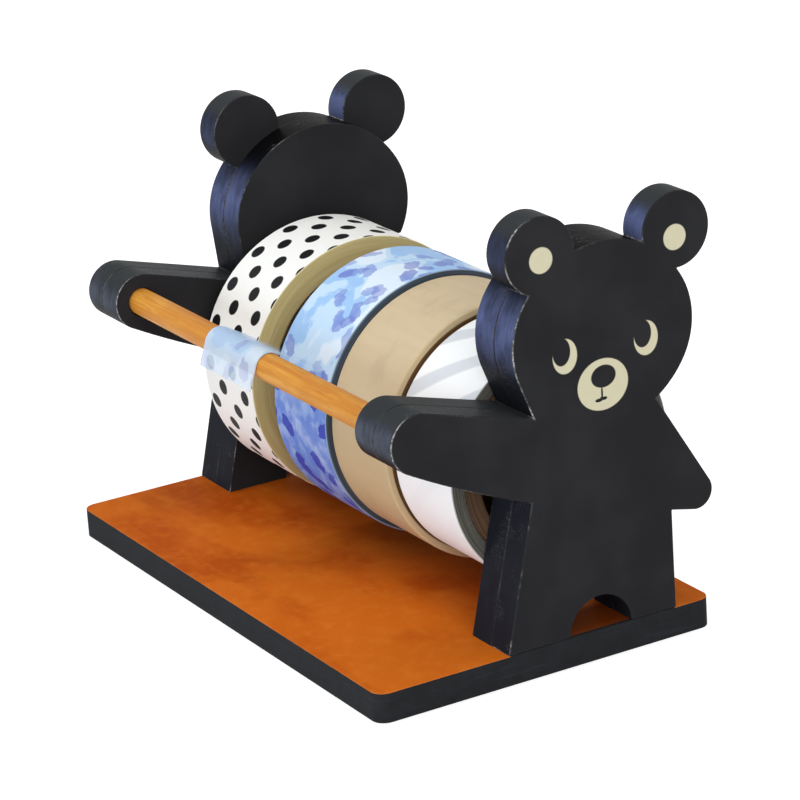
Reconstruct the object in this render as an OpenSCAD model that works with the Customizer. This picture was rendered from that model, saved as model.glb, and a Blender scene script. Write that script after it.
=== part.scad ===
// Tape dispenser for several narrow rolls.
// Two bears cut from layered board stand on a base board, hold a guide dowel in their
// paws and carry a removable axle, and the rolls of tape hang on that axle.
// Frame: X runs along the axle, the guide dowel is at the front (-Y), Z is up,
// and the origin is at the centre of the base board's underside. Millimetres.

/* [Base board] */
// Depth of the base board, front to back
base_d = 54; // [50:1:80]
// Thickness of the base board
base_t = 4.3; // [3:0.1:10]
// Radius of the board's upright corners
base_corner_r = 2; // [0.4:0.1:4]

/* [Bear plates] */
// Thickness of one plate; each bear is two plates glued face to face
plate_t = 4.75; // [3.5:0.05:6]
// Distance from the base's centre to the bear's upright centreline
bear_y = 12.2; // [8:0.1:13]
// Distance of the head's centre forward of that centreline
head_fore = 0.95; // [0:0.05:1.5]
// How much further back the left bear's head sits
left_head_aft = 2.4; // [0:0.1:2.8]
// How much lower the left bear's head sits
left_head_drop = 1; // [0:0.1:1.2]
// Size of the left bear's head against the right one's
left_head_grow = 1.03; // [1:0.01:1.05]
// Half width of the oval head
head_half_w = 14.4; // [13.6:0.1:17]
// Half height of the oval head
head_half_h = 13.1; // [12.6:0.1:13.6]
// Radius of the head's round ends at the cheeks
cheek_r = 11.5; // [10:0.1:12]
// Height of the head's centre above the base board
head_rise = 42; // [40:0.1:46]
// Backward tilt of the head and its ears
head_tilt = 2.2; // [0:0.1:6]
// Radius of an ear
ear_r = 5.4; // [4:0.1:7]
// Distance of an ear's centre from the middle of the ears
ear_out = 10.8; // [9:0.1:12]
// Distance of the middle of the ears behind the head's centre
ear_aft = 0.9; // [0:0.1:1.5]
// Height of the ears' centres above the head's centre
ear_rise = 12.6; // [11.5:0.1:13.4]
// Front edge of the front foot, forward of the centreline
front_foot = 18.6; // [17:0.1:20]
// Back edge of the back foot, behind the centreline
back_foot = 8.8; // [8:0.1:11]
// Radius of the arch between the feet
arch_r = 5; // [3:0.1:6]
// Distance of the arch's centre forward of the centreline
arch_fore = 3.6; // [2:0.1:5]
// Where the front leg meets the arm, forward of the centreline
armpit_fore = 13.6; // [13:0.1:16]
// Height of that armpit above the base board
armpit_rise = 21; // [19:0.1:22]
// Where the top of the arm meets the head, forward of the centreline
nape_fore = 12.6; // [12:0.1:13]
// Height of that meeting above the base board
nape_rise = 32.8; // [32:0.1:33.6]
// Radius of the round paw that holds the guide dowel
paw_r = 4.25; // [3.5:0.05:5]
// Bulge radius of the arm's lower edge
arm_bulge_r = 150; // [60:1:300]
// Radius of the back arm's tip
back_paw_r = 2.6; // [1.6:0.1:3]
// Distance of the back arm's tip centre behind the centreline
back_paw_aft = 13; // [12.4:0.1:15]
// Height of the back arm's tip centre above the base board
back_paw_rise = 16.1; // [15:0.1:18]
// Height above the base board where the back leg meets the back arm
back_pit_rise = 14.4; // [13.5:0.1:15]
// Where the back shoulder meets the head, behind the centreline
shoulder_aft = 6.9; // [5:0.1:8]
// Height of that meeting above the base board
shoulder_rise = 31.3; // [30:0.1:33]

/* [Guide dowel] */
// Diameter of the guide dowel
dowel_d = 4; // [3:0.1:5]
// Distance of the guide dowel forward of the bear's centreline
dowel_fore = 30.4; // [28:0.1:33]
// Height of the guide dowel's centre above the base board
dowel_rise = 33.4; // [31:0.1:36]
// Clearance round the guide dowel in its blind holes
dowel_clear = 0.15; // [0.05:0.01:0.4]

/* [Axle] */
// Diameter of the axle
axle_d = 8; // [5:0.1:10]
// Clearance on each side of the axle in its slots
slot_clear = 0.25; // [0.1:0.01:0.5]
// Clearance at each end of the axle
axle_end_clear = 0.25; // [0.1:0.01:1]
// Gap between the axle's top and the cores that hang on it
hang_gap = 0.3; // [0.1:0.05:0.6]
// Distance of the axle forward of the bear's centreline
axle_fore = 2.6; // [0:0.1:3]

/* [Tape rolls] */
// Width of the tape
tape_w = 15; // [10:0.5:15]
// Inner diameter of the card cores
core_d = 26; // [24:0.5:28]
// Wall of the card cores
core_wall = 2.6; // [1:0.1:3]
// Depth of the dotted tape wound on its core
dotted_depth = 4.15; // [1:0.05:4.8]
// Depth of the blue tape wound on its core
blue_depth = 4.1; // [1:0.05:4.8]
// Depth of the plain brown tape wound on its core
brown_depth = 3.3; // [1:0.05:4.8]
// Depth of the striped tape wound on its core
striped_depth = 2.1; // [1:0.05:4.8]
// Play between a core and the innermost turn of tape
core_play = 0.04; // [0.02:0.01:0.1]
// Small round on the rims of the wound tape
rim_round = 0.25; // [0.1:0.05:0.5]
// Gap between the base board and the fullest roll
base_gap = 2; // [0.5:0.05:3]
// Free space between the left bear and the first roll
first_gap = 2.9; // [0.5:0.1:4]
// Gap between the dotted roll and the blue roll
second_gap = 6.7; // [0.5:0.1:8]
// Gap between the blue roll and the plain brown roll
third_gap = 0.5; // [0.4:0.1:4]
// Gap between the plain brown roll and the striped roll
fourth_gap = 0.6; // [0.4:0.1:4]
// Free space between the striped roll and the right bear
last_gap = 0.3; // [0.3:0.1:4]

/* [Tape end over the dowel] */
// Thickness of the single strip of tape
strip_t = 0.2; // [0.1:0.05:0.4]
// Gap between the strip and what it passes
strip_gap = 0.12; // [0.05:0.01:0.4]
// Slope of the strip between the dowel and its roll
strip_slope = 29.5; // [24:0.5:34]
// Lean of the hanging end from upright
strip_lean = 19; // [0:1:30]
// Length of the hanging end below the dowel's front
strip_hang = 3.7; // [2:0.1:12]

/* [Screws] */
// Diameter of a screw's shank
screw_d = 2.2; // [1.5:0.1:2.6]
// Length of a screw
screw_l = 12; // [8:0.5:16]
// Diameter of a screw's countersunk head
screw_head_d = 4.2; // [3:0.1:4.6]
// Clearance round a screw
screw_clear = 0.05; // [0.02:0.01:0.2]
// Width of the cross in a screw's head
screw_cross_w = 0.6; // [0.4:0.1:0.8]
// Depth of the cross in a screw's head
screw_cross_h = 0.8; // [0.4:0.1:0.9]
// Distance of a screw from the outer edge of its foot
screw_inset = 3.2; // [2.6:0.1:4]

/* [Hidden] */
$fn = 96;
eps = 0.01;

// Width between the bears, and the base board's width with both bears on it
inner_w = first_gap + second_gap + third_gap + fourth_gap + last_gap + 4 * tape_w;
bear_t = 2 * plate_t;
base_w = inner_w + 2 * bear_t;

// Bear plates
inner_x = inner_w / 2;
seam_x = base_w / 2 - plate_t;
head_y = bear_y - head_fore;
head_z = base_t + head_rise;
paw = [bear_y - dowel_fore, base_t + dowel_rise];
back_paw = [bear_y + back_paw_aft, base_t + back_paw_rise];
armpit = [bear_y - armpit_fore, base_t + armpit_rise];
nape = [bear_y - nape_fore, base_t + nape_rise];
shoulder = [bear_y + shoulder_aft, base_t + shoulder_rise];
toe_y = bear_y - front_foot;
heel_y = bear_y + back_foot;

// Rolls
core_r = core_d / 2;
wound_in_r = core_r + core_wall + core_play;
blue_r = wound_in_r + blue_depth;
fullest = max(dotted_depth, blue_depth, brown_depth, striped_depth);
roll_y = bear_y - axle_fore;
roll_z = base_t + base_gap + wound_in_r + fullest;
dotted_x = -inner_x + first_gap;
blue_x = dotted_x + tape_w + second_gap;
brown_x = blue_x + tape_w + third_gap;
striped_x = brown_x + tape_w + fourth_gap;

// Axle
axle_r = axle_d / 2;
slot_r = axle_r + slot_clear;
axle_y = roll_y;
axle_z = roll_z + core_r - hang_gap - axle_r;
axle_half_l = seam_x - axle_end_clear;

// Strip of tape from the blue roll over the guide dowel
wrap_r = dowel_d / 2 + strip_gap + strip_t / 2;
lead_dir = [cos(strip_slope), -sin(strip_slope)];
lead_from = paw + wrap_r * [sin(strip_slope), cos(strip_slope)];
from_roll = lead_from - [roll_y, roll_z];
lead_dot = lead_dir * from_roll;
lead_keep = blue_r + 2 * strip_gap + strip_t;
lead_l = -lead_dot - sqrt(lead_dot * lead_dot - from_roll * from_roll + lead_keep * lead_keep);
lead_up = [sin(strip_slope), cos(strip_slope)];
hang_from = paw + wrap_r * [-cos(strip_lean), sin(strip_lean)];
wrap_from = 90 - strip_slope;
wrap_to = 180 - strip_lean;
wrap_steps = 24;

// Screws
screw_x = inner_x + plate_t / 2;
screw_head_h = (screw_head_d - screw_d) / 2;
screw_ys = [toe_y + screw_inset, heel_y - screw_inset];

board_black = "#26262a";
board_orange = "#b85f1e";
dowel_wood = "#d9944a";
card = "#8a6846";

// Turns a flat drawing in (y, z) into a plate that starts at x and is t thick
module plate(x, t)
  translate([x, 0, 0])
    rotate([90, 0, 90])
      linear_extrude(t)
        children();

// Bar of diameter d along X
module bar(d, x0, x1, y, z)
  translate([x0, y, z])
    rotate([0, 90, 0])
      cylinder(d = d, h = x1 - x0);

// Oval of four tangent arcs
module oval(half_w, half_h, end_r) {
  end_c = half_w - end_r;
  drop = half_h - end_r;
  low = (end_c * end_c - drop * drop) / (2 * drop);
  reach = sqrt(end_c * end_c + low * low);
  join = end_c + end_r * end_c / reach;
  for (side = [-1, 1])
    translate([side * end_c, 0])
      circle(end_r);
  intersection() {
    translate([0, -low])
      circle(half_h + low);
    translate([0, low])
      circle(half_h + low);
    square([2 * join, 2 * half_h + 1], center = true);
  }
}

// Size of the head on one side, and its place
function head_size(side) = side < 0 ? left_head_grow : 1;
function head_at(side) = [head_y, head_z] + (side < 0 ? [left_head_aft, -left_head_drop] : [0, 0]);

module at_head(side)
  translate(head_at(side))
    rotate(-head_tilt)
      children();

module ears_2d(side)
  at_head(side)
    for (ear = [-1, 1])
      translate(head_size(side) * [ear_aft + ear * ear_out, ear_rise])
        circle(head_size(side) * ear_r);

module head_2d(side)
  at_head(side)
    oval(head_size(side) * head_half_w, head_size(side) * head_half_h, head_size(side) * cheek_r);

// Unit vector from a to b, and the point just inside a circle where a line from p grazes it
function unit(a, b) = (b - a) / norm(b - a);
function graze(p, c, r, side) =
  let (d = norm(c - p), along = (c - p) / d, across = [-along[1], along[0]], s = r / d)
  c + (r - eps) * (side * sqrt(1 - s * s) * across - s * along);

// Full cheek from the head down to the arm
module cheek_2d(side) {
  end = head_size(side) * (head_half_w - cheek_r);
  end_c = head_at(side) + end * [-cos(head_tilt), sin(head_tilt)];
  polygon([nape, [bear_y, nape[1] - paw_r], end_c, graze(nape, end_c, head_size(side) * cheek_r, 1)]);
}

// Front arm: a limb that widens from the paw to the body, with a full lower edge
module front_arm_2d() {
  top = graze(nape, paw, paw_r, -1);
  run = norm(armpit - paw);
  near = arm_bulge_r - paw_r + eps;
  along = (run * run + near * near - arm_bulge_r * arm_bulge_r) / (2 * run);
  to_armpit = unit(paw, armpit);
  to_top = [-to_armpit[1], to_armpit[0]];
  bulge_c = paw + along * to_armpit + sqrt(near * near - along * along) * to_top;
  translate(paw)
    circle(paw_r);
  intersection() {
    translate(bulge_c)
      circle(arm_bulge_r, $fn = 180);
    polygon([top, paw, paw + 2 * paw_r * unit(bulge_c, paw), armpit + paw_r * unit(bulge_c, armpit),
             [bear_y, armpit[1]], [bear_y, head_z], nape + 5 * unit(top, nape)]);
  }
}

// Back arm: a short flap that hangs behind the body
module back_arm_2d() {
  flank = graze(shoulder, back_paw, back_paw_r, 1);
  pit = [heel_y, base_t + back_pit_rise];
  translate(back_paw)
    circle(back_paw_r);
  polygon([[bear_y - 1, head_z], [bear_y - 1, pit[1]], pit, graze(pit, back_paw, back_paw_r, -1),
           back_paw, flank, shoulder + 3 * unit(flank, shoulder)]);
}

// Legs: from the armpit and the back arm down to the two feet
module legs_2d()
  difference() {
    polygon([[toe_y, base_t], [heel_y, base_t], [heel_y, back_paw[1] + back_paw_r], [bear_y, head_z],
             armpit + 3 * unit([toe_y, base_t], armpit)]);
    translate([bear_y - arch_fore, base_t])
      circle(arch_r);
  }

// Bear without ears, which is the inner plate's outline
module body_2d(side) {
  head_2d(side);
  cheek_2d(side);
  front_arm_2d();
  back_arm_2d();
  legs_2d();
}

// Slot that the axle slides into from behind
module slot_2d() {
  translate([axle_y, axle_z])
    circle(slot_r);
  translate([axle_y, axle_z - slot_r])
    square([base_d, 2 * slot_r]);
}

// Pilot holes for the screws of the bear on the given side
module pilot_holes(side)
  for (y = screw_ys)
    translate([side * screw_x, y, -eps])
      cylinder(d = screw_d + 2 * screw_clear, h = screw_l + screw_clear + eps);

module outer_bear(side)
  color(board_black)
    plate(side > 0 ? seam_x : -base_w / 2, plate_t) {
      body_2d(side);
      ears_2d(side);
    }

module inner_bear(side)
  color(board_black)
    difference() {
      plate(side > 0 ? inner_x : -seam_x, plate_t)
        difference() {
          body_2d(side);
          slot_2d();
          translate(paw)
            circle(d = dowel_d + 2 * dowel_clear);
        }
      pilot_holes(side);
    }

module left_outer_bear() outer_bear(-1);
module left_inner_bear() inner_bear(-1);
module right_inner_bear() inner_bear(1);
module right_outer_bear() outer_bear(1);

// Rectangle with round corners, centred
module round_rect(w, d, r) {
  square([w - 2 * r, d], center = true);
  square([w, d - 2 * r], center = true);
  for (sx = [-1, 1], sy = [-1, 1])
    translate([sx * (w / 2 - r), sy * (d / 2 - r)])
      circle(r);
}

module base_board()
  color(board_orange)
    difference() {
      linear_extrude(base_t)
        round_rect(base_w, base_d, base_corner_r);
      for (side = [-1, 1]) {
        pilot_holes(side);
        for (y = screw_ys)
          translate([side * screw_x, y, -eps])
            cylinder(d1 = screw_head_d + 2 * screw_clear + 2 * eps, d2 = screw_d + 2 * screw_clear,
                     h = screw_head_h + eps);
      }
    }

module guide_dowel()
  color(dowel_wood)
    bar(dowel_d, -seam_x + dowel_clear, seam_x - dowel_clear, paw[0], paw[1]);

module roll_axle()
  color(dowel_wood)
    bar(axle_d, -axle_half_l, axle_half_l, axle_y, axle_z);

// Ring about the rolls' axis from x, with its outer rims rounded by r
module ring(x, in_r, out_r, r)
  translate([x, roll_y, roll_z])
    rotate([0, 90, 0])
      rotate_extrude()
        translate([in_r, 0]) {
          square([out_r - in_r - r, tape_w]);
          translate([0, r])
            square([out_r - in_r, tape_w - 2 * r]);
          for (z = [r, tape_w - r])
            translate([out_r - in_r - r, z])
              circle(r);
        }

// Card tube that a tape is wound on
module core(x)
  color(card)
    translate([x, roll_y, roll_z])
      rotate([0, 90, 0])
        difference() {
          cylinder(r = core_r + core_wall, h = tape_w);
          translate([0, 0, -eps])
            cylinder(r = core_r, h = tape_w + 2 * eps);
        }

module wound_tape(x, depth) ring(x, wound_in_r, wound_in_r + depth, rim_round);

module dotted_core() core(dotted_x);
module blue_core() core(blue_x);
module brown_core() core(brown_x);
module striped_core() core(striped_x);

module dotted_tape() color("#f2f0ea") wound_tape(dotted_x, dotted_depth);
module blue_tape() color("#8fb4e6") wound_tape(blue_x, blue_depth);
module brown_tape() color("#cdaa78") wound_tape(brown_x, brown_depth);
module striped_tape() color("#f4f4f2") wound_tape(striped_x, striped_depth);

// Points of the strip's face at the given distance from its middle, from the roll to the free end
function strip_face(off) = concat(
  [lead_from + lead_l * lead_dir + off * lead_up],
  [for (i = [0:wrap_steps]) let (a = wrap_from + (wrap_to - wrap_from) * i / wrap_steps)
    paw + (wrap_r + off) * [cos(a), sin(a)]],
  [hang_from + strip_hang * [-sin(strip_lean), -cos(strip_lean)]
    + off * [-cos(strip_lean), sin(strip_lean)]]
);
function backward(v) = [for (i = [len(v) - 1:-1:0]) v[i]];

// End of the blue tape: it leaves its roll, crosses over the guide dowel and hangs in front
module blue_tape_end()
  color("#bcd3f2")
    plate(blue_x, tape_w)
      polygon(concat(strip_face(strip_t / 2), backward(strip_face(-strip_t / 2))));

module foot_screws()
  color("#b9bcc0")
    for (side = [-1, 1], y = screw_ys)
      translate([side * screw_x, y, 0])
        difference() {
          union() {
            cylinder(d = screw_d, h = screw_l);
            cylinder(d1 = screw_head_d, d2 = screw_d, h = screw_head_h);
          }
          for (turn = [0, 90])
            rotate(turn)
              translate([0, 0, screw_cross_h / 2 - eps])
                cube([screw_d, screw_cross_w, screw_cross_h], center = true);
        }

base_board();
left_outer_bear();
left_inner_bear();
right_inner_bear();
right_outer_bear();
guide_dowel();
roll_axle();
dotted_core();
dotted_tape();
blue_core();
blue_tape();
brown_core();
brown_tape();
striped_core();
striped_tape();
blue_tape_end();
foot_screws();
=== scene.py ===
import math
import bpy
import bmesh
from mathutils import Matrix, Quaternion, Vector


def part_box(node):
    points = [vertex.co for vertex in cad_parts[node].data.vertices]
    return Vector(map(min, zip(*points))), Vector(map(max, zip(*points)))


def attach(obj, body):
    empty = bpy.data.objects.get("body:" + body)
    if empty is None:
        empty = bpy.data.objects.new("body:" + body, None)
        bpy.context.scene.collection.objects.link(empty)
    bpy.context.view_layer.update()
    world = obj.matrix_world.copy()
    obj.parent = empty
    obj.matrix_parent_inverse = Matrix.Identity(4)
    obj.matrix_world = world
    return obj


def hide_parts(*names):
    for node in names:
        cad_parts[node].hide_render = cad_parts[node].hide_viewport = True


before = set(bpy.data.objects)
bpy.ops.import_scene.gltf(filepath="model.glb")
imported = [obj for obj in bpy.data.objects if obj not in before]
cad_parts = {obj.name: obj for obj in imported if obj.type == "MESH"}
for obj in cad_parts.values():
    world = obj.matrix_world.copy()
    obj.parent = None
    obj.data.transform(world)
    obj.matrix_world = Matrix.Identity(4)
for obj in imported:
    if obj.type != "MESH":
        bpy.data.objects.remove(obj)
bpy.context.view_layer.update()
mm = 0.001
scene = bpy.context.scene
scene.view_settings.view_transform = "Standard"
print("frame loaded", len(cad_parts), "nodes")


# Colours are written as they look on a screen, 0 to 255, and turned into light here
def tint(color, amount=1.0):
    def light(v):
        v = min(v * amount, 255) / 255
        return v / 12.92 if v <= 0.04045 else ((v + 0.055) / 1.055) ** 2.4
    return (*[light(v) for v in color], 1.0)


# One value in a material; sums on it add the nodes for them
class Wire:
    def __init__(self, paint, socket):
        self.paint = paint
        self.socket = socket

    # another output of the same node
    def other(self, out):
        return Wire(self.paint, self.socket.node.outputs[out])

    def maths(self, operation, first, second=0.0):
        return self.paint.add("Math", dict(operation=operation), {0: first, 1: second})

    def __add__(self, other):
        return self.maths("ADD", self, other)

    def __radd__(self, other):
        return self.maths("ADD", other, self)

    def __sub__(self, other):
        return self.maths("SUBTRACT", self, other)

    def __rsub__(self, other):
        return self.maths("SUBTRACT", other, self)

    def __mul__(self, other):
        return self.maths("MULTIPLY", self, other)

    def __rmul__(self, other):
        return self.maths("MULTIPLY", other, self)

    def __truediv__(self, other):
        return self.maths("DIVIDE", self, other)

    def __rtruediv__(self, other):
        return self.maths("DIVIDE", other, self)

    def __neg__(self):
        return self.maths("MULTIPLY", self, -1.0)

    def __abs__(self):
        return self.maths("ABSOLUTE", self)

    def sine(self):
        return self.maths("SINE", self)

    def root(self):
        return self.maths("SQRT", self)

    def part(self):
        return self.maths("FRACT", self)

    def whole(self):
        return self.maths("FLOOR", self)

    def most(self, other):
        return self.maths("MAXIMUM", self, other)

    def angleFrom(self, other):
        return self.maths("ARCTAN2", self, other)

    # low where the value is 0 and high where it is 1
    def between(self, low, high):
        return low + (high - low) * self

    # 0 below low, 1 above high and a soft step between
    def step(self, low, high):
        return self.paint.add("MapRange", dict(interpolation_type="SMOOTHSTEP"), {0: self, 1: low, 2: high})


# A material, or the room, with the nodes in it
class Paint:
    def __init__(self, owner, shader="Principled BSDF"):
        owner.use_nodes = True
        self.owner = owner
        self.tree = owner.node_tree
        self.shader = self.tree.nodes[shader]

    def feed(self, socket, value):
        if isinstance(value, Wire):
            self.tree.links.new(value.socket, socket)
        else:
            socket.default_value = value

    def add(self, kind, settings, sockets, out=0):
        node = self.tree.nodes.new("ShaderNode" + kind)
        for key, value in settings.items():
            setattr(node, key, value)
        for key, value in sockets.items():
            self.feed(node.inputs[key], value)
        return Wire(self, node.outputs[out])

    # the piece's own place in millimetres, with a centre and a stretch
    def place(self, centre=(0, 0, 0), stretch=(1, 1, 1), turn=(0, 0, 0)):
        spot = self.add("TexCoord", {}, {}, out="Object")
        size = [s / mm for s in stretch]
        shift = [-c * s for c, s in zip(centre, stretch)]
        return self.add("Mapping", {}, {"Vector": spot, "Location": shift, "Scale": size, "Rotation": turn})

    def split(self, vector):
        x = self.add("SeparateXYZ", {}, {0: vector})
        return x, x.other(1), x.other(2)

    def join(self, x, y, z):
        return self.add("CombineXYZ", {}, {0: x, 1: y, 2: z})

    def facing(self):
        return self.split(self.add("TexCoord", {}, {}, out="Normal"))

    # noise over the piece's place, or over a vector; step gives it soft edges
    def noise(self, scale, detail=3.0, rough=0.5, warp=0.0, step=None, vector=None, **where):
        sockets = {"Vector": vector or self.place(**where), "Scale": scale, "Detail": detail,
                   "Roughness": rough, "Distortion": warp}
        made = self.add("TexNoise", {}, sockets)
        return made.step(*step) if step else made

    def blend(self, factor, first, second):
        return self.add("Mix", dict(data_type="RGBA"), {0: factor, 6: first, 7: second}, out=2)

    def bump(self, height, depth, strength, under=None):
        sockets = {"Height": height, "Distance": depth * mm, "Strength": strength}
        if under:
            sockets["Normal"] = under
        return self.add("Bump", {}, sockets)

    # 1 for the rays that see the background
    def whiteRays(self):
        camera = self.add("LightPath", {}, {}, out="Is Camera Ray")
        return camera.most(camera.other("Is Glossy Ray")).most(camera.other("Is Transmission Ray"))

    def dress(self, **sockets):
        names = dict(color="Base Color", rough="Roughness", metal="Metallic", gloss="Specular IOR Level",
                     normal="Normal", alpha="Alpha")
        for key, value in sockets.items():
            self.feed(self.shader.inputs[names[key]], value)
        return self.owner


def newPaint(name):
    return Paint(bpy.data.materials.new(name))


# Adds a finished mesh to the scene as a piece that rides on a body in place of a node
def piece(name, bm, materials, body, node, slot):
    bmesh.ops.recalc_face_normals(bm, faces=bm.faces)
    for face in bm.faces:
        face.smooth = True
    mesh = bpy.data.meshes.new(name)
    bm.to_mesh(mesh)
    bm.free()
    made = bpy.data.objects.new(name, mesh)
    scene.collection.objects.link(made)
    for material in materials:
        mesh.materials.append(material)
    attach(made, body)
    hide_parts(node)
    flat = made.modifiers.new("flatFaces", "WEIGHTED_NORMAL")
    flat.weight = 100
    flat.keep_sharp = True


# Doubles merge under a distance in millimetres; faces join under an angle in degrees, and edges show over one
clean = dict(merge=0.002, flat=0.4, sharp=32)


# A node's own shape in whole faces, with its edges rounded; the rounded strips take the second material
def rounded(node, rim, steps, sharp=clean["sharp"]):
    bm = bmesh.new()
    bm.from_mesh(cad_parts[node].data)
    bmesh.ops.remove_doubles(bm, verts=bm.verts, dist=clean["merge"] * mm)
    bmesh.ops.dissolve_limit(bm, angle_limit=math.radians(clean["flat"]), verts=bm.verts, edges=bm.edges)
    inner = [e for e in bm.edges if len(e.link_faces) == 2]
    edges = [e for e in inner if e.calc_face_angle() > math.radians(sharp)]
    if rim:
        made = bmesh.ops.bevel(bm, geom=edges, offset=rim * mm, offset_type="OFFSET", affect="EDGES",
                               segments=steps, profile=0.5, material=-1, clamp_overlap=True)
        for face in made["faces"]:
            face.material_index = 1
    else:
        for edge in edges:
            edge.smooth = False
    return bm


# The camera stands where the photograph was taken from; eye in millimetres, angles in degrees
view = dict(eye=(430.73, -236.91, 199.70), azimuth=60.715, elevation=19.336, roll=-3.887,
            lens=162.74, sensor=36, near=0.01, far=20)
turn, rise = math.radians(view["azimuth"]), math.radians(view["elevation"])
back = Vector((math.sin(turn) * math.cos(rise), -math.cos(turn) * math.cos(rise), math.sin(rise)))
lensData = bpy.data.cameras.new("camera")
lensData.sensor_width = view["sensor"]
lensData.lens = view["lens"]
lensData.clip_start = view["near"]
lensData.clip_end = view["far"]
camera = bpy.data.objects.new("camera", lensData)
camera.rotation_mode = "QUATERNION"
camera.location = Vector(view["eye"]) * mm
camera.rotation_quaternion = back.to_track_quat("Z", "Y") @ Quaternion((0, 0, 1), math.radians(view["roll"]))
scene.collection.objects.link(camera)
scene.camera = camera
print("camera set")

# Soft lamps, in metres and watts, over a pale floor with white all round
light = dict(aim=(0, 0, 0.03), sky=0.45, white=1.0, background=(255, 255, 255))
lamps = dict(
    key=dict(at=(-0.25, -0.62, 0.62), size=0.55, watts=1.55, color=(255, 252, 246)),
    top=dict(at=(0.05, 0.10, 0.85), size=0.60, watts=2.0, color=(255, 253, 250)),
    side=dict(at=(0.75, -0.25, 0.35), size=0.45, watts=2.6, color=(250, 252, 255)),
    front=dict(at=(0.10, -0.80, 0.05), size=0.50, watts=3.2, color=(226, 241, 255)),
)
for name, lamp in lamps.items():
    data = bpy.data.lights.new(name, "AREA")
    data.shape = "SQUARE"
    data.size = lamp["size"]
    data.energy = lamp["watts"]
    data.color = tint(lamp["color"])[:3]
    made = bpy.data.objects.new(name, data)
    made.location = lamp["at"]
    made.rotation_mode = "QUATERNION"
    made.rotation_quaternion = (Vector(lamp["at"]) - Vector(light["aim"])).to_track_quat("Z", "Y")
    scene.collection.objects.link(made)

room = Paint(bpy.data.worlds.new("room"), "Background")
scene.world = room.owner
strength = room.add("MapRange", {}, {0: room.whiteRays(), 3: light["sky"], 4: light["white"]})
room.feed(room.shader.inputs["Strength"], strength)
room.feed(room.shader.inputs["Color"], tint(light["background"]))

# The floor lies a hair under the board; its glow only shows to rays that see the background
ground = dict(size=3.0, drop=0.05, color=(232, 232, 232), rough=0.9, gloss=0.1, glow=0.55)
bm = bmesh.new()
bmesh.ops.create_grid(bm, x_segments=4, y_segments=4, size=ground["size"])
bmesh.ops.translate(bm, verts=bm.verts, vec=(0, 0, -ground["drop"] * mm))
floorMesh = bpy.data.meshes.new("floor")
bm.to_mesh(floorMesh)
bm.free()
floor = bpy.data.objects.new("floor", floorMesh)
scene.collection.objects.link(floor)
pale = newPaint("paleFloor")
pale.dress(color=tint(ground["color"]), rough=ground["rough"], gloss=ground["gloss"])
glow = pale.add("Emission", {}, {"Color": tint(light["background"]),
                                 "Strength": pale.whiteRays() * ground["glow"]})
both = pale.add("AddShader", {}, {0: Wire(pale, pale.shader.outputs[0]), 1: glow})
pale.feed(pale.tree.nodes["Material Output"].inputs["Surface"], both)
floorMesh.materials.append(pale.owner)
print("light and floor set")

# Bears: board stained near black, with a painted blue sheen on its front edges, painted light and shade on
# its top edges, rims pale from wear and a painted highlight, and a printed face outside
bear = dict(
    stain=(40, 40, 42), cloud=(48, 48, 50), cut=(26, 27, 29), litCutTop=(50, 53, 55), shadedCrown=(10, 10, 11),
    frontSheen=(88, 98, 138), pawSheen=(88, 94, 108), scuff=(150, 152, 158), bareAndHighlight=(205, 203, 198),
    ink=(220, 213, 182), inkDark=0.96, rough=0.50, roughGrain=0.16, roughCloud=0.10, roughCut=0.05,
    roughInk=0.12, gloss=0.02, rimRough=(0.40, 0.65), rimGloss=0.06, rim=0.20, rimSteps=3, seam=40.25,
    grainBump=(0.02, 0.35), layerBump=(0.05, 0.5), rimBump=(0.02, 0.4),
    cloudNoise=dict(scale=0.09, detail=4),
    grainNoise=dict(scale=1.6, detail=4, stretch=(0.9, 0.9, 0.16)),
    layersNoise=dict(scale=1.1, stretch=(2.4, 0.12, 0.12)),
    streakNoise=dict(scale=0.9, detail=4, rough=0.6, stretch=(1.6, 0.3, 0.3)),
    patchNoise=dict(scale=0.42, rough=0.6, stretch=(1.0, 0.6, 0.5), step=(0.32, 0.66)),
    nickNoise=dict(scale=1.5, detail=2, rough=0.6, stretch=(0.5, 0.5, 2.4), turn=(0.5, 0.2, 0.4)),
    nickSpotsNoise=dict(scale=0.21, detail=2, step=(0.54, 0.66)),
    inkNoise=dict(scale=1.2),
    wearNoise=dict(scale=0.16, rough=0.6, step=(0.45, 0.66)),
    fineNoise=dict(scale=2.2, rough=0.6, step=(0.40, 0.60)),
    # where a change starts and ends, in millimetres
    crownZone=(49.0, 51.0), crownTopZone=(59.9, 60.3), headZone=(40.5, 50.0), earsZone=(53.0, 55.0),
    frontEarZone=(10.0, 13.0), rearEarZone=(14.0, 17.0), pawZone=(-16.0, -12.0), pawRiseZone=(30.0, 34.0),
    rimPawZone=(-19.5, -17.0), rimSeamZone=(0.25, 0.45), archZone=(-1.0, 2.0), archTopZone=(9.4, 10.2),
    # how far a face is turned, from 0 to 1, where a change starts and ends
    flankTurn=(0.3, 0.7), upTurn=(0.4, 0.8), frontTurn=(0.25, 0.95), level=0.12, steepTurn=(0.12, 0.75),
    outwardTurn=(0.6, 0.9), rimFrontTurn=(0.20, 0.60),
    # where a noise shows, and how strong each change is; a pair gives its least and its most
    cloudShow=(0.35, 0.75), nickWide=0.008, nickAmount=0.45, sheenAmount=0.04, sheenPawAmount=0.62,
    sheenHeadAmount=0.86, frontEarAmount=0.72, rearEarAmount=0.6, patchAmount=(0.52, 1.0),
    streakAmount=(0.40, 1.70), rubAmount=0.08, frontRubAndHighlight=(0.15, 0.70), pawRubAndHighlight=0.8,
    seamRubAndHighlightAmount=0.8,
)
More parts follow.
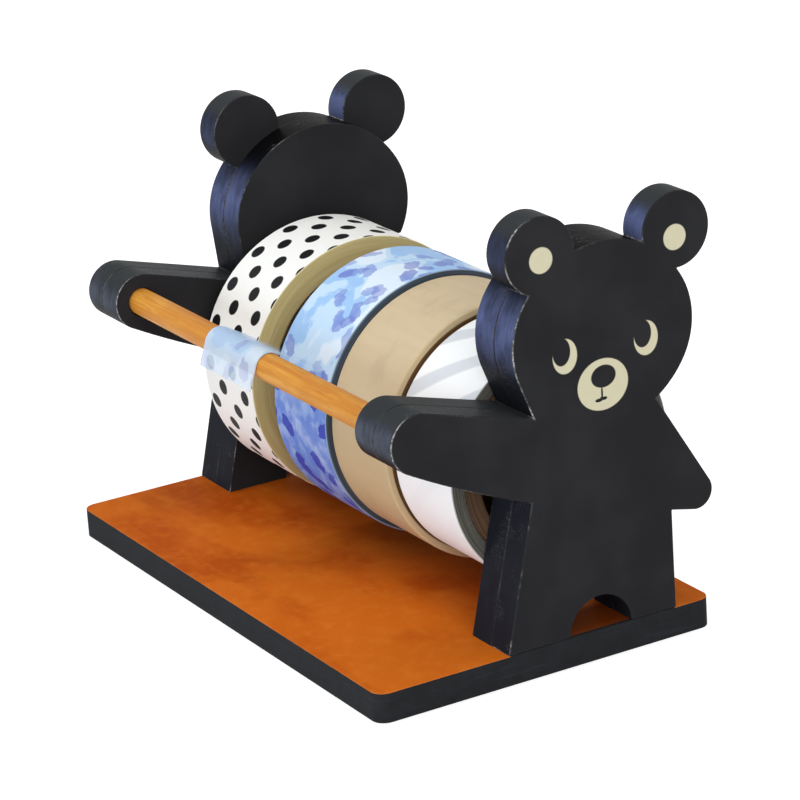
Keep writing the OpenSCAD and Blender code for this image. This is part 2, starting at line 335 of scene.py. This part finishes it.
# Middle and half sizes of what is printed on the right bear's outer face, in millimetres
face = dict(
    muzzle=(10.7, 39.42, 4.04, 3.63), nose=(10.84, 40.55, 1.98, 1.59), lip=(10.5, 38.2, 0.15, 0.95),
    lips=((9.95, 37.3, 0.6, 0.26), (10.8, 37.42, 0.5, 0.25), (10.42, 37.45, 0.3, 0.3)),
    earDots=((1.96, 58.65), (23.19, 57.46)), earDot=1.8, eyes=((4.92, 44.65), (17.9, 44.4)),
    eye=(1.93, 2.44), lid=(-0.52, 0.72), lidSize=(1.40, 1.96), soft=0.09,
)
head = dict(right=(11.25, 46.3), left=(13.65, 45.3), grow=1.03)


def disc(y, z, spot):
    cy, cz, ry, rz = spot
    across, up = (y - cy) / ry, (z - cz) / rz
    reach = (across * across + up * up).root()
    soft = face["soft"] / max(ry, rz)
    return 1.0 - (reach - 1.0).step(-soft, soft)


def facePrint(y, z):
    dark = disc(y, z, face["nose"]).most(disc(y, z, face["lip"]))
    for lip in face["lips"]:
        dark = dark.most(disc(y, z, lip))
    marks = disc(y, z, face["muzzle"]) * (1.0 - dark)
    for cy, cz in face["earDots"]:
        marks = marks.most(disc(y, z, (cy, cz, face["earDot"], face["earDot"])))
    # an eye is an oval with its lid cut away, which leaves a crescent
    for cy, cz in face["eyes"]:
        lid = disc(y, z, (cy + face["lid"][0], cz + face["lid"][1]) + face["lidSize"])
        marks = marks.most(disc(y, z, (cy, cz) + face["eye"]) * (1.0 - lid))
    return marks


# side is -1 or 1 for the printed outer plates and 0 for the inner ones
def bearPaint(name, side):
    p = newPaint(name)
    y, z = p.split(p.place())[1:]
    nx, ny, nz = p.facing()
    cut = 1.0 - abs(nx).step(*bear["flankTurn"])
    cloud = p.noise(**bear["cloudNoise"])
    grain = p.noise(**bear["grainNoise"])
    color = p.blend(cloud.step(*bear["cloudShow"]), tint(bear["stain"]), tint(bear["cloud"]))
    # painted light on the cut edges that face up: a painted highlight on most of them, and painted shade,
    # near black, on the head's crown between the ears
    shadedCrown = z.step(*bear["crownZone"]) * (1.0 - z.step(*bear["crownTopZone"]))
    above = p.blend(shadedCrown, tint(bear["litCutTop"]), tint(bear["shadedCrown"]))
    color = p.blend(cut, color, p.blend(nz.step(*bear["upTurn"]), tint(bear["cut"]), above))
    # painted sheen: blue shows on the paws and the head, where they face the front, and stops underneath
    paw = (1.0 - y.step(*bear["pawZone"])) * z.step(*bear["pawRiseZone"])
    ears = z.step(*bear["earsZone"])
    frontEar = ears * (1.0 - y.step(*bear["frontEarZone"]))
    rearEar = ears * y.step(*bear["rearEarZone"])
    onHead = z.step(*bear["headZone"]) * (1.0 - bear["frontEarAmount"] * frontEar)
    onHead = onHead * (1.0 + bear["rearEarAmount"] * rearEar)
    fade = bear["sheenAmount"] + bear["sheenPawAmount"] * paw + bear["sheenHeadAmount"] * onHead
    steep = abs(nz - bear["level"]).step(*bear["steepTurn"])
    fade = fade * (-ny).step(*bear["frontTurn"]) * (1.0 - steep)
    fade = fade * p.noise(**bear["patchNoise"]).between(*bear["patchAmount"])
    fade = fade * p.noise(**bear["streakNoise"]).between(*bear["streakAmount"])
    sheenTint = p.blend(paw, tint(bear["frontSheen"]), tint(bear["pawSheen"]))
    color = p.blend(cut * fade, color, sheenTint)
    # thin scratches where a noise crosses its middle
    nick = 1.0 - abs(p.noise(**bear["nickNoise"]) - 0.5).step(0.0, bear["nickWide"])
    nick = nick * p.noise(**bear["nickSpotsNoise"]) * cut
    color = p.blend(nick * bear["nickAmount"], color, tint(bear["scuff"]))
    rough = bear["rough"] + bear["roughGrain"] * (grain - 0.5) + bear["roughCloud"] * (cloud - 0.5)
    rough = rough - bear["roughCut"] * cut
    if side:
        if side < 0:
            y = (y - head["left"][0]) / head["grow"] + head["right"][0]
            z = (z - head["left"][1]) / head["grow"] + head["right"][1]
        marks = facePrint(y, z) * (nx * side).step(*bear["outwardTurn"])
        ink = p.blend(p.noise(**bear["inkNoise"]), tint(bear["ink"]), tint(bear["ink"], bear["inkDark"]))
        color = p.blend(marks, color, ink)
        rough = rough + bear["roughInk"] * marks
    height = p.bump(grain, *bear["grainBump"])
    height = p.bump(p.noise(**bear["layersNoise"]) * cut, *bear["layerBump"], height)
    return p.dress(color=color, rough=rough, gloss=bear["gloss"], normal=height)


# The rounded rims are pale where they face the front, from rubbed wear and a painted highlight; hardly in the
# seam and not in the arch
def rimPaint():
    p = newPaint("bearRim")
    x, y, z = p.split(p.place())
    ny = p.facing()[1]
    wear = p.noise(**bear["wearNoise"])
    fine = p.noise(**bear["fineNoise"])
    front = (-ny).step(*bear["rimFrontTurn"])
    seam = 1.0 - abs(abs(x) - bear["seam"]).step(*bear["rimSeamZone"])
    paw = 1.0 - y.step(*bear["rimPawZone"])
    arch = y.step(*bear["archZone"]) * (1.0 - z.step(*bear["archTopZone"]))
    rubAndHighlight = front * wear.most(paw * bear["pawRubAndHighlight"]) * fine.between(*bear["frontRubAndHighlight"])
    rubAndHighlight = rubAndHighlight + bear["rubAmount"] * wear * fine
    rubAndHighlight = rubAndHighlight * (1.0 - bear["seamRubAndHighlightAmount"] * seam) * (1.0 - arch)
    color = p.blend(rubAndHighlight, tint(bear["stain"]), tint(bear["bareAndHighlight"]))
    rough = fine.between(*bear["rimRough"])
    return p.dress(color=color, rough=rough, gloss=bear["rimGloss"], normal=p.bump(fine, *bear["rimBump"]))


rimMaterial = rimPaint()
plates = dict(left_outer_bear=-1, left_inner_bear=0, right_inner_bear=0, right_outer_bear=1)
for node, side in plates.items():
    hand, layer, kind = node.split("_")
    name = hand + layer.title() + kind.title()
    piece(name, rounded(node, bear["rim"], bear["rimSteps"]), [bearPaint(name + "Board", side), rimMaterial],
          "frame", node, "bear_board")
print("bears made")

# Base: black-edged board with a mottled orange top
base = dict(
    top=(212, 108, 27), deep=(186, 82, 16), shade=(112, 48, 14), glow=(224, 130, 48), edge=(40, 41, 43),
    edgeTones=(0.85, 1.2), fibre=(62, 64, 70), lip=(196, 150, 104), under=(150, 118, 84), underDark=0.86,
    rough=0.52, roughSmall=0.18, roughPore=0.05, gloss=0.015, rim=0.3, rimSteps=3,
    smallBump=(0.03, 0.3), fibreBump=(0.06, 0.35), up=(0.5, 0.8), down=(0.6, 0.8),
    wideNoise=dict(scale=0.07, detail=4, rough=0.55, warp=0.6, stretch=(0.5, 1.0, 1.0), step=(0.34, 0.56)),
    smallNoise=dict(scale=0.42, detail=4, rough=0.6),
    poreNoise=dict(scale=2.6, rough=0.6, stretch=(0.22, 1.0, 1.0)),
    fibreNoise=dict(scale=1.5, stretch=(0.08, 0.08, 2.2)),
    lipHighlightNoise=dict(scale=0.5, step=(0.28, 0.52)),
    # where a change starts and ends, in millimetres
    bearsZone=(36.0, 38.0), bearFrontZone=(-4.0, 0.0), bearBackZone=(17.0, 20.0), rollsZone=(30.0, 38.0),
    rollMiddle=8.0, rollReachZone=(4.0, 17.0), footZone=(44.2, 44.4), toeZone=(-6.3, -6.0),
    heelZone=(20.6, 20.9), rimPrintZone=(-0.2, -0.08), lipZone=(-0.26, -0.16), lipTopZone=(-0.05, -0.01),
    # where a noise shows, and how strong each change is
    glowShow=(0.42, 0.78), poreShow=(0.56, 0.72), fibreShow=(0.58, 0.72),
    glowAmount=0.42, poreAmount=0.18, fibreAmount=0.25, bearsAmount=0.88, rollsAmount=0.55,
)
base["thick"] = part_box("base_board")[1].z / mm


def basePaint(name, rimPart=False):
    p = newPaint(name)
    x, y, z = p.split(p.place())
    nz = p.facing()[2]
    small = p.noise(**base["smallNoise"])
    pore = p.noise(**base["poreNoise"])
    fibre = p.noise(**base["fibreNoise"])
    top = p.blend(p.noise(**base["wideNoise"]), tint(base["deep"]), tint(base["top"]))
    top = p.blend(small.step(*base["glowShow"]) * base["glowAmount"], top, tint(base["glow"]))
    top = p.blend(pore.step(*base["poreShow"]) * base["poreAmount"], top, tint(base["deep"]))
    side = p.blend(small, *[tint(base["edge"], tone) for tone in base["edgeTones"]])
    side = p.blend(fibre.step(*base["fibreShow"]) * base["fibreAmount"], side, tint(base["fibre"]))
    below = p.blend(pore, tint(base["under"]), tint(base["under"], base["underDark"]))
    # painted shadow: the top is dark under the bears and a little darker under the rolls
    bears = abs(x).step(*base["bearsZone"]) * y.step(*base["bearFrontZone"])
    bears = bears * (1.0 - y.step(*base["bearBackZone"]))
    rolls = 1.0 - abs(y - base["rollMiddle"]).step(*base["rollReachZone"])
    rolls = rolls * (1.0 - abs(x).step(*base["rollsZone"]))
    top = p.blend(base["bearsAmount"] * bears + base["rollsAmount"] * rolls, top, tint(base["shade"]))
    # no print shows beside the feet
    foot = abs(x).step(*base["footZone"]) * y.step(*base["toeZone"]) * (1.0 - y.step(*base["heelZone"]))
    depth = z - base["thick"]
    up = depth.step(*base["rimPrintZone"]) if rimPart else nz.step(*base["up"])
    color = p.blend(up * (1.0 - foot), side, top)
    color = p.blend((-nz).step(*base["down"]), color, below)
    if rimPart:
        # a pale band just under the top edge, broken up by noise: painted highlight
        lip = depth.step(*base["lipZone"]) * (1.0 - depth.step(*base["lipTopZone"])) * (1.0 - foot)
        color = p.blend(lip * p.noise(**base["lipHighlightNoise"]), color, tint(base["lip"]))
    rough = base["rough"] + base["roughSmall"] * (small - 0.5) + base["roughPore"] * pore
    height = p.bump(small, *base["smallBump"], p.bump(fibre, *base["fibreBump"]))
    return p.dress(color=color, rough=rough, gloss=base["gloss"], normal=height)


piece("baseBoard", rounded("base_board", base["rim"], base["rimSteps"]),
      [basePaint("baseSurface"), basePaint("baseRim", True)], "frame", "base_board", "base_board")
print("base made")

# Dowel and axle: turned wood, its grain along the rod
wood = dict(
    pale=(216, 153, 60), mid=(196, 124, 40), dark=(146, 84, 34), poreShow=(0.56, 0.70), poreAmount=0.6,
    toneAmount=0.5, rough=0.5, roughPore=0.15, gloss=0.2, rim=0.25, rimSteps=3, poreBump=(0.03, 0.5),
    streakNoise=dict(scale=1.3, detail=5, rough=0.6, warp=0.4, stretch=(0.05, 1.0, 1.0), step=(0.34, 0.62)),
    poreNoise=dict(scale=1.6, rough=0.6, stretch=(0.12, 3.0, 3.0)),
    toneNoise=dict(scale=0.3, detail=2, stretch=(0.4, 0.3, 0.3), step=(0.42, 0.62)),
)
rods = dict(
    guideDowel=dict(node="guide_dowel", body="frame", seed=3),
    rollAxle=dict(node="roll_axle", body="axle", seed=17),
)


# the seed moves the grain, so that no two rods look alike
def woodPaint(name, seed):
    p = newPaint(name)
    streak = p.noise(**wood["streakNoise"], centre=(seed, seed, 0))
    pore = p.noise(**wood["poreNoise"], centre=(seed, 0, seed))
    color = p.blend(streak, tint(wood["mid"]), tint(wood["pale"]))
    color = p.blend(pore.step(*wood["poreShow"]) * wood["poreAmount"], color, tint(wood["dark"]))
    color = p.blend(p.noise(**wood["toneNoise"]) * wood["toneAmount"], color, tint(wood["mid"]))
    rough = wood["rough"] + wood["roughPore"] * (pore - 0.5)
    return p.dress(color=color, rough=rough, gloss=wood["gloss"], normal=p.bump(pore, *wood["poreBump"]))


for name, rod in rods.items():
    material = woodPaint(name + "Wood", rod["seed"])
    piece(name, rounded(rod["node"], wood["rim"], wood["rimSteps"]), [material, material],
          rod["body"], rod["node"], "pale_wood")
print("dowel and axle made")

# Rolls: paper tape wound on a card core, with the turns a little uneven at the sides, in millimetres
roll = dict(bore=13.0, core=15.6, coreRound=0.18, inside=15.64, inset=0.01, round=0.25,
            roundAt=(25, 50, 75, 90), turns=14, uneven=0.05, steps=200, sideSeed=50, rollSeed=7)
low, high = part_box("blue_core")
roll["y"], roll["z"] = (low.y + high.y) / 2 / mm, (low.z + high.z) / 2 / mm


def outside(node):
    low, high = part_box(node)
    return (high.z - low.z) / 2 / mm - roll["inset"]


# spins a profile of places along the axle and distances from it
def ring(points):
    bm = bmesh.new()
    verts = [bm.verts.new((x * mm, roll["y"] * mm, (roll["z"] + r) * mm)) for x, r in points]
    edges = [bm.edges.new((verts[i], verts[(i + 1) % len(verts)])) for i in range(len(verts))]
    bmesh.ops.spin(bm, geom=verts + edges, cent=(0, roll["y"] * mm, roll["z"] * mm), axis=(1, 0, 0),
                   dvec=(0, 0, 0), angle=2 * math.pi, steps=roll["steps"],
                   use_merge=True, use_duplicate=False)
    return bm


# an even scatter between 0 and 1, the same each run
def spread(i):
    v = math.sin(i * 12.99 + 4.1) * 437.6
    return v - math.floor(v)


def tapeProfile(node, seed):
    low, high = (v.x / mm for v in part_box(node))
    q, mid = roll["round"], outside(node) - roll["round"]
    left, right = [], []
    for i in range(roll["turns"] + 1):
        r = roll["inside"] + (mid - roll["inside"]) * i / roll["turns"]
        left.append((low + roll["uneven"] * spread(i + seed), r))
        right.append((high - roll["uneven"] * spread(i + seed + roll["sideSeed"]), r))
    curve = [math.radians(a) for a in roll["roundAt"]]
    left += [(low + q - q * math.cos(a), mid + q * math.sin(a)) for a in curve]
    right += [(high - q + q * math.cos(a), mid + q * math.sin(a)) for a in curve]
    return left + right[::-1]


def coreProfile(node):
    low, high = (v.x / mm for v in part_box(node))
    a, b, q = roll["bore"], roll["core"], roll["coreRound"]
    return [(low, a + q), (low, b - q), (low + q, b), (high - q, b),
            (high, b - q), (high, a + q), (high - q, a), (low + q, a)]


# lap is the angle at which the outer turn ends
tape = dict(
    dotted=dict(paper=(246, 246, 243), side=(216, 199, 142), sideDark=(206, 188, 130),
                lip=(230, 218, 180), lipWide=0.15, lap=2.55),
    blue=dict(paper=(222, 236, 250), side=(88, 100, 114), sideDark=(66, 76, 88),
              lip=(150, 176, 204), lipWide=0.2, lap=3.135),
    brown=dict(paper=(209, 189, 155), side=(124, 88, 52), sideDark=(98, 70, 42),
               lip=(214, 190, 150), lipWide=1.0, lap=2.25),
    # the striped roll's sides are darker than its white paper: painted shade
    striped=dict(paper=(248, 250, 252), side=(106, 104, 96), sideDark=(80, 78, 72),
                 lip=(190, 190, 184), lipWide=0.2, lap=2.85),
)
# Paper; a print counts as hanging low between the angles lowFront and lowUnder round the roll
paper = dict(
    rough=0.52, roughFibre=0.14, roughEdge=0.2, gloss=0.12, edge=(0.45, 0.75), lowFront=(0.0, 0.5),
    lowUnder=(-2.2, -1.4), woundShow=(0.36, 0.64), woundTurn=0.25, lipSoft=0.1,
    lapColor=(120, 118, 112), lapWide=(0.003, 0.012), lapAmount=0.35,
    fibreBump=(0.015, 0.4), woundBump=(0.10, 0.6), creaseBump=(0.05, 0.3),
    fibreNoise=dict(scale=1.4, detail=4, rough=0.6),
    creaseNoise=dict(scale=1.2, stretch=(0.06, 0.5, 0.5)),
    woundNoise=dict(scale=4.5, rough=0.6),
)
dots = dict(color=(16, 16, 18), across=6.8, rows=40, radius=1.18, soft=0.08, ragged=0.12)
stripes = dict(color=(212, 217, 224), bands=12, width=0.42, slope=0.85, soft=0.08, fibre=(0.75, 1.0), low=0.9)
brown = dict(
    low=(186, 160, 116), lowShadeAmount=0.5, creaseShow=(0.35, 0.7), creaseAmount=0.4, creaseTone=0.94,
    fibreShow=(0.55, 0.75), fibreAmount=0.25, fibreTone=1.06, smudgeAmount=0.5, smudgeTone=0.88,
    smudgeNoise=dict(scale=0.16, rough=0.55, stretch=(1.0, 0.7, 0.7), step=(0.48, 0.70)),
)
# A layer of dabs has a size, a turn and how many of its cells are painted
wash = dict(
    pale=(196, 222, 246), paleShow=(0.44, 0.47), mid=(150, 192, 238), midCloud=0.8, midShow=(0.52, 0.55),
    midAmount=(0.6, 1.0), deep=(88, 122, 208), deepWet=(0.3, 0.6), deepAmount=(0.58, 0.92),
    dab=(112, 126, 202), darkDab=(58, 72, 176), dabs=((0.30, 0.7, 0.40), (0.36, -0.9, 0.35)), slim=0.62,
    random=0.9, raggedAcross=1.6, raggedAlong=2.2, raggedEdge=0.14, dabEdge=(0.33, 0.38), pickSoft=0.04,
    dabStrong=(0.55, 0.90), dabWet=(0.7, 1.2), dabLow=0.6,
    cloudNoise=dict(scale=0.11, detail=2, warp=0.3),
    wetNoise=dict(scale=0.45, rough=0.55, warp=0.3),
    raggedNoise=dict(scale=0.9, detail=2),
)


# The blue print: soft washes with loose brush dabs over them
def bluePrint(p, across, along, low, centre=(0, 0, 0)):
    cloud = p.noise(**wash["cloudNoise"], centre=centre)
    wet = p.noise(**wash["wetNoise"], centre=centre)
    ragged = p.noise(**wash["raggedNoise"], centre=centre)
    color = p.blend(cloud.step(*wash["paleShow"]), tint(tape["blue"]["paper"]), tint(wash["pale"]))
    pool = (cloud * wash["midCloud"] + wet * (1.0 - wash["midCloud"])).step(*wash["midShow"])
    color = p.blend(pool * wet.between(*wash["midAmount"]), color, tint(wash["mid"]))
    # deeper blue, with darker dabs, towards the lower front of the roll
    deep = wet.step(*wash["deepWet"]).between(*wash["deepAmount"])
    color = p.blend(low * deep, color, tint(wash["deep"]))
    ink = p.blend(low, tint(wash["dab"]), tint(wash["darkDab"]))
    across = across + wash["raggedAcross"] * (ragged - 0.5)
    along = along + wash["raggedAlong"] * (wet - 0.5)
    for size, turn, amount in wash["dabs"]:
        flat = p.join(across * (size * math.cos(turn)) + along * (size * math.sin(turn)),
                      (along * math.cos(turn) - across * math.sin(turn)) * (size * wash["slim"]), 0.0)
        cells = p.add("TexVoronoi", dict(voronoi_dimensions="2D"),
                      {"Vector": flat, "Scale": 1.0, "Randomness": wash["random"]}, out="Distance")
        pick, strong = p.split(cells.other("Color"))[:2]
        dab = 1.0 - (cells + wash["raggedEdge"] * (wet - 0.5)).step(*wash["dabEdge"])
        dab = dab * pick.step(1.0 - amount, 1.0 - amount + wash["pickSoft"])
        dab = dab * strong.between(*wash["dabStrong"]) * wet.between(*wash["dabWet"])
        color = p.blend(dab * (1.0 + wash["dabLow"] * low), color, ink)
    return color


# Rows of dots, every other row moved by half a step
def dotPrint(x, angle, size, fibre):
    row = angle * (dots["rows"] / (2 * math.pi))
    odd = (row.whole() * 0.5).part() * 2.0
    across = ((x / dots["across"] + odd * 0.5).part() - 0.5) * dots["across"]
    down = (row.part() - 0.5) * (2 * math.pi * size / dots["rows"])
    far = (across * across + down * down).root() + dots["ragged"] * (fibre - 0.5)
    return 1.0 - far.step(dots["radius"] - dots["soft"], dots["radius"] + dots["soft"])


def stripePrint(x, angle, size, fibre, low):
    pitch = 2 * math.pi * size / stripes["bands"]
    band = (angle * (stripes["bands"] / (2 * math.pi)) - x * (stripes["slope"] / pitch)).part()
    stop = stripes["width"]
    band = band.step(0.0, stripes["soft"]) * (1.0 - band.step(stop - stripes["soft"], stop))
    # painted light: the stripes wash out towards the lower front of the roll
    return band * fibre.between(*stripes["fibre"]) * (1.0 - stripes["low"] * low)


# Plain brown paper, creased, with a few darker smudges, and painted shade towards the lower front of the roll
def brownPrint(p, crease, fibre, low):
    plain = tape["brown"]["paper"]
    creased, rubbed = crease.step(*brown["creaseShow"]), fibre.step(*brown["fibreShow"])
    color = p.blend(creased * brown["creaseAmount"], tint(plain), tint(plain, brown["creaseTone"]))
    color = p.blend(rubbed * brown["fibreAmount"], color, tint(plain, brown["fibreTone"]))
    smudge = p.noise(**brown["smudgeNoise"])
    color = p.blend(smudge * brown["smudgeAmount"], color, tint(plain, brown["smudgeTone"]))
    return p.blend(low * brown["lowShadeAmount"], color, tint(brown["low"]))


# Place along the axle, distance from it, and angle round it from the front upwards
def aroundAxle(p):
    x, y, z = p.split(p.place(centre=(0, roll["y"], roll["z"])))
    return x, (y * y + z * z).root(), z.angleFrom(-y)


def tapePaint(kind, seed):
    p = newPaint(kind + "Tape")
    look, size = tape[kind], outside(kind + "_tape")
    x, reach, angle = aroundAxle(p)
    low = (1.0 - angle.step(*paper["lowFront"])) * angle.step(*paper["lowUnder"])
    fibre = p.noise(**paper["fibreNoise"])
    crease = p.noise(**paper["creaseNoise"])
    if kind == "dotted":
        color = p.blend(dotPrint(x, angle, size, fibre), tint(look["paper"]), tint(dots["color"]))
    elif kind == "blue":
        color = bluePrint(p, x, angle * size, low)
    elif kind == "striped":
        color = p.blend(stripePrint(x, angle, size, fibre, low), tint(look["paper"]), tint(stripes["color"]))
    else:
        color = brownPrint(p, crease, fibre, low)
    wound = p.noise(**paper["woundNoise"], vector=p.join(reach, angle * paper["woundTurn"], float(seed)))
    sides = p.blend(wound.step(*paper["woundShow"]), tint(look["side"]), tint(look["sideDark"]))
    lip = (reach - size + look["lipWide"]).step(-paper["lipSoft"], paper["lipSoft"])
    sides = p.blend(lip, sides, tint(look["lip"]))
    edge = abs(p.facing()[0]).step(*paper["edge"])
    color = p.blend(edge, color, sides)
    # the outer turn ends in a faint line at the back
    lap = (1.0 - abs(angle - look["lap"]).step(*paper["lapWide"])) * (1.0 - edge)
    color = p.blend(lap * paper["lapAmount"], color, tint(paper["lapColor"]))
    rough = paper["rough"] + paper["roughFibre"] * (fibre - 0.5) + paper["roughEdge"] * edge
    height = p.bump(fibre, *paper["fibreBump"], p.bump(wound * edge, *paper["woundBump"]))
    height = p.bump(crease, *paper["creaseBump"], height)
    return p.dress(color=color, rough=rough, gloss=paper["gloss"], normal=height)


# Card cores: plies at the ends, and a joint that winds round inside; the ends are darker than the card
# itself, as painted shade
card = dict(
    face=(98, 74, 54), dark=(70, 52, 38), inner=(150, 118, 86), rough=0.82, gloss=0.2, flank=(0.5, 0.8),
    plyShow=(0.40, 0.60), plyTurn=0.4, plySeed=2.0, innerAmount=0.8, starts=9.0, lead=0.55,
    joint=(0.96, 0.99), jointAmount=0.5, fibreBump=(0.03, 0.5), plyBump=(0.12, 0.7),
    plyNoise=dict(scale=2.6, rough=0.6),
    fibreNoise=dict(scale=1.1, detail=4, rough=0.65),
)


def cardPaint():
    p = newPaint("coreCard")
    x, reach, angle = aroundAxle(p)
    ply = p.noise(**card["plyNoise"], vector=p.join(reach, angle * card["plyTurn"], card["plySeed"]))
    fibre = p.noise(**card["fibreNoise"])
    flank = abs(p.facing()[0]).step(*card["flank"])
    color = p.blend(ply.step(*card["plyShow"]) * flank, tint(card["face"]), tint(card["dark"]))
    inner = p.blend(fibre, tint(card["inner"]), tint(card["face"]))
    color = p.blend((1.0 - flank) * card["innerAmount"], color, inner)
    joint = (angle * card["starts"] + x * card["lead"]).sine().step(*card["joint"]) * (1.0 - flank)
    color = p.blend(joint * card["jointAmount"], color, tint(card["dark"]))
    height = p.bump(fibre, *card["fibreBump"], p.bump(ply * flank, *card["plyBump"]))
    return p.dress(color=color, rough=card["rough"], gloss=card["gloss"], normal=height)


cardMaterial = cardPaint()
for seed, kind in enumerate(tape):
    body = kind + "_roll"
    profile = tapeProfile(kind + "_tape", seed * roll["rollSeed"])
    piece(kind + "Tape", ring(profile), [tapePaint(kind, seed)], body, kind + "_tape", kind + "_tape")
    piece(kind + "Core", ring(coreProfile(kind + "_core")), [cardMaterial], body, kind + "_core", "core_card")
print("rolls made")

# The drawn end of the blue tape, thin enough at its tip and behind the dowel to show what lies under it
drawn = dict(alpha=0.95, tip=0.45, flight=0.5, fade=9.0, behind=3.0, shift=40.0, rise=1.2, run=0.4,
             pale=(0.28, 0.58), rough=(0.5, 0.6), gloss=0.12, sharp=50)


def endPaint():
    p = newPaint("blueTapeEnd")
    x, y, z = p.split(p.place())
    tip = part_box("blue_tape_end")[0].z / mm
    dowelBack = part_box("guide_dowel")[1].y / mm
    clear = 1.0 - (z - tip).step(0.0, drawn["fade"])
    behind = (y - dowelBack).step(0.0, drawn["behind"])
    # the same print as the roll's, from a stretch further along
    along = z * drawn["rise"] - y * drawn["run"]
    color = bluePrint(p, x + drawn["shift"], along, 0.0, centre=(drawn["shift"], 0, 0))
    color = p.blend(clear.between(*drawn["pale"]), color, tint(tape["blue"]["paper"]))
    fibre = p.noise(**paper["fibreNoise"])
    alpha = clear.between(drawn["alpha"], drawn["tip"]) - (drawn["alpha"] - drawn["flight"]) * behind
    return p.dress(color=color, rough=fibre.between(*drawn["rough"]), gloss=drawn["gloss"], alpha=alpha,
                   normal=p.bump(fibre, *paper["fibreBump"]))


piece("blueTapeEnd", rounded("blue_tape_end", 0, 0, drawn["sharp"]), [endPaint()],
      "frame", "blue_tape_end", "blue_tape")
print("tape end made")

# Screws under the board
screw = dict(color=(186, 188, 192), dull=(150, 150, 152), dullShow=(0.4, 0.7), rough=(0.32, 0.52),
             rim=0.06, rimSteps=2, brushBump=(0.02, 0.4), brush=dict(scale=2.4, stretch=(1.0, 1.0, 0.3)))


def screwPaint():
    p = newPaint("screwSteel")
    brush = p.noise(**screw["brush"])
    color = p.blend(brush.step(*screw["dullShow"]), tint(screw["color"]), tint(screw["dull"]))
    rough = brush.between(*screw["rough"])
    return p.dress(color=color, rough=rough, metal=1.0, normal=p.bump(brush, *screw["brushBump"]))


screwMaterial = screwPaint()
piece("footScrews", rounded("foot_screws", screw["rim"], screw["rimSteps"]), [screwMaterial, screwMaterial],
      "frame", "foot_screws", "screw_steel")
print("screws made")
